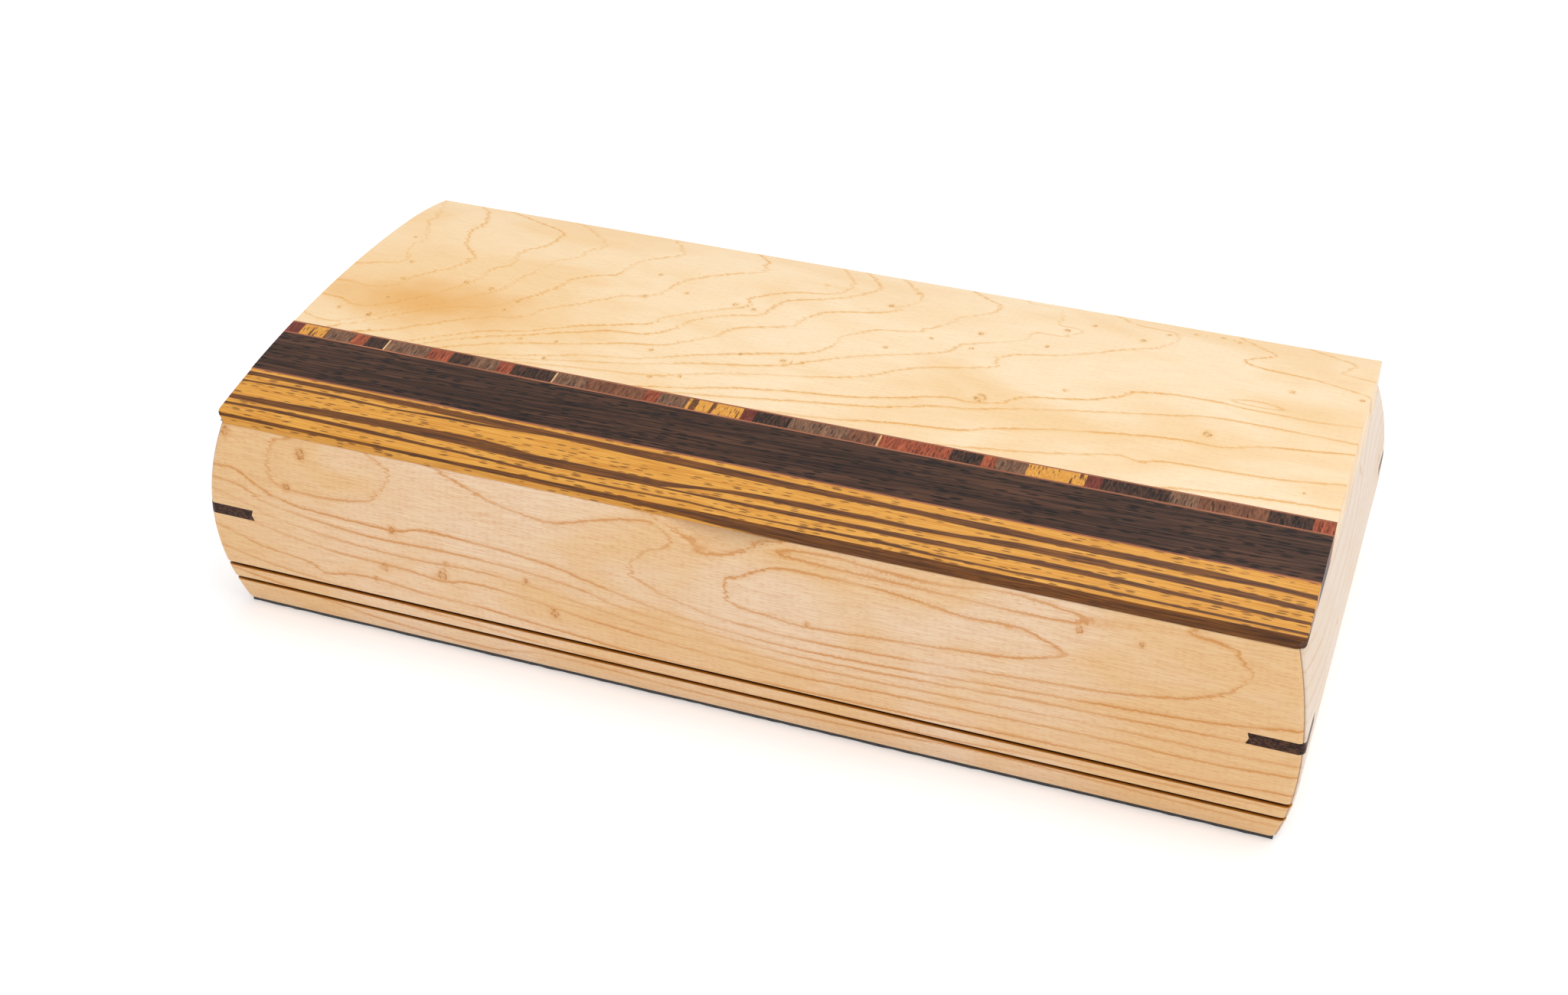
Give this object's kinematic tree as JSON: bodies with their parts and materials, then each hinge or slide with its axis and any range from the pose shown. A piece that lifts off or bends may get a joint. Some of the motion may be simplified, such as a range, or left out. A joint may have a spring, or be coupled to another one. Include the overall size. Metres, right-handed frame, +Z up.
{
  "type": "lidded wooden knife box",
  "caption": "Long figured maple box with bulged mitred walls, dark corner splines and a hinged crowned lid banded in striped and mosaic woods, with knife rests inside.",
  "frame": {"origin": "middle of the box's footprint, on the surface that it stands on", "axes": "+X along the box to its right end, -Y out of the front with the finger scoop, +Z up"},
  "size_m": [0.3048, 0.1508, 0.0761],
  "materials": {
    "maple_front": "satin",
    "maple_back": "satin",
    "maple_end": "satin",
    "wenge": "satin",
    "birch": "satin",
    "base_felt": "matt felt",
    "floor_felt": "matt felt",
    "maple_rest": "satin",
    "screw_brass": "satin",
    "hinge_brass": "satin",
    "maple_lid": "satin",
    "zebrano": "satin",
    "stringing": "satin",
    "rosewood": "satin",
    "grey_wood": "satin",
    "padauk": "satin",
    "maple_line": "satin",
    "walnut": "satin"
  },
  "bodies": {
    "carcass": {"front_panel": "maple_front", "back_panel": "maple_back", "left_end_panel": "maple_end", "right_end_panel": "maple_end", "spline_front_left": "wenge", "spline_front_right": "wenge", "spline_back_left": "wenge", "spline_back_right": "wenge", "bottom_panel": "birch", "base_felt": "base_felt", "floor_lining": "floor_felt", "blade_rest": "maple_rest", "handle_rest": "maple_rest", "rest_screws": "screw_brass", "hinge_left_body_leaf": "hinge_brass", "hinge_right_body_leaf": "hinge_brass", "hinge_left_pin": "hinge_brass", "hinge_right_pin": "hinge_brass", "hinge_body_screws": "screw_brass"},
    "lid": {"lid_board": "maple_lid", "lip_board": "zebrano", "dark_band": "wenge", "stringing_front": "stringing", "stringing_middle": "stringing", "stringing_back": "stringing", "blocks_rosewood": "rosewood", "blocks_zebrano": "zebrano", "blocks_grey": "grey_wood", "blocks_padauk": "padauk", "blocks_wenge": "wenge", "blocks_maple": "maple_line", "blocks_walnut": "walnut", "hinge_left_lid_leaf": "hinge_brass", "hinge_right_lid_leaf": "hinge_brass", "hinge_lid_screws": "screw_brass"}
  },
  "joints": [
    {"name": "lid_hinge", "type": "hinge", "parent": "carcass", "child": "lid", "pos_m": [0, 0.05255, 0.0584], "axis": [-1, 0, 0], "range_deg": [0, 90]}
  ]
}
